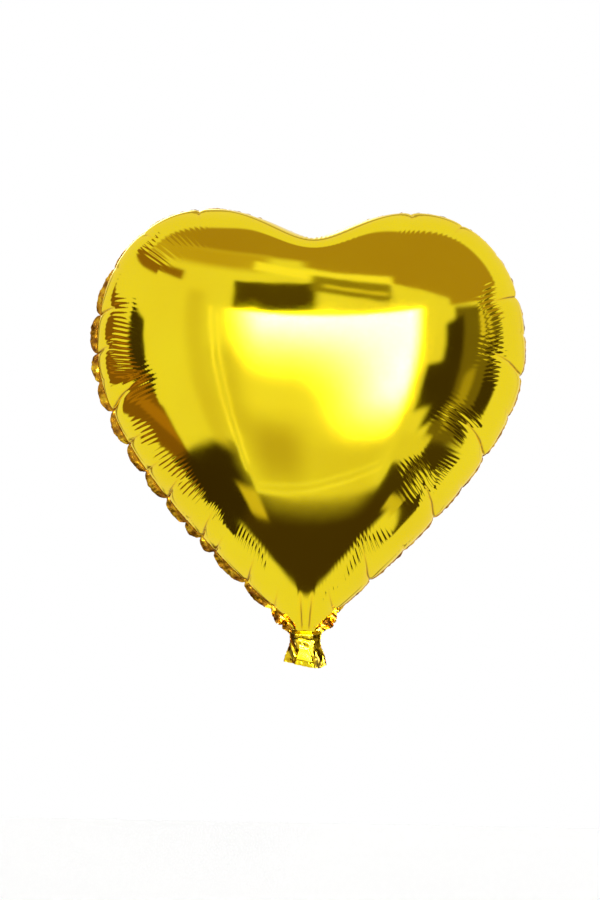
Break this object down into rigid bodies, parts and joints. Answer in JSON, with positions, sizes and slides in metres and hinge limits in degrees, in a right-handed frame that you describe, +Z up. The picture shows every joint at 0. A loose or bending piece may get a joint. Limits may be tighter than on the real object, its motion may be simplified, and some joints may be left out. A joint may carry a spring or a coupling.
{
  "type": "heart-shaped foil balloon",
  "caption": "Gas-filled heart-shaped foil balloon: domed front and rear foil panels, welded edge seam, folding tail and inner self-sealing valve.",
  "frame": {"origin": "on the tie line, the crease across the neck where the ribbon is knotted, midway between the two foil sheets", "axes": "+Z up from the neck through the cleft of the heart, -Y out of the front panel, +X to the right of a viewer who faces the front"},
  "size_m": [0.401, 0.168, 0.421],
  "materials": {
    "gold_foil": "polished",
    "welded_foil": "satin",
    "valve_film": "gloss"
  },
  "bodies": {
    "envelope": {"front_panel": "gold_foil", "rear_panel": "gold_foil", "perimeter_seam": "welded_foil"},
    "tail": {"tail_front_flap": "gold_foil", "tail_rear_flap": "gold_foil", "tail_left_seam": "welded_foil", "tail_right_seam": "welded_foil", "tail_valve_front_film": "valve_film", "tail_valve_rear_film": "valve_film"},
    "valve_front": {"valve_front_film": "valve_film"},
    "valve_rear": {"valve_rear_film": "valve_film"}
  },
  "joints": [
    {"name": "tail_fold", "type": "hinge", "parent": "envelope", "child": "tail", "pos_m": [0, 0, 0], "axis": [1, 0, 0], "range_deg": [-110, 110]},
    {"name": "valve_front_open", "type": "hinge", "parent": "envelope", "child": "valve_front", "pos_m": [0, 0, 0.004], "axis": [1, 0, 0], "range_deg": [0, 6], "stiffness_Nm_per_rad": 0.001},
    {"name": "valve_rear_open", "type": "hinge", "parent": "envelope", "child": "valve_rear", "pos_m": [0, 0, 0.004], "axis": [-1, 0, 0], "range_deg": [0, 6], "stiffness_Nm_per_rad": 0.001}
  ],
  "couplings": [
    {"joint": "valve_rear_open", "follows": "valve_front_open", "ratio": 1}
  ]
}
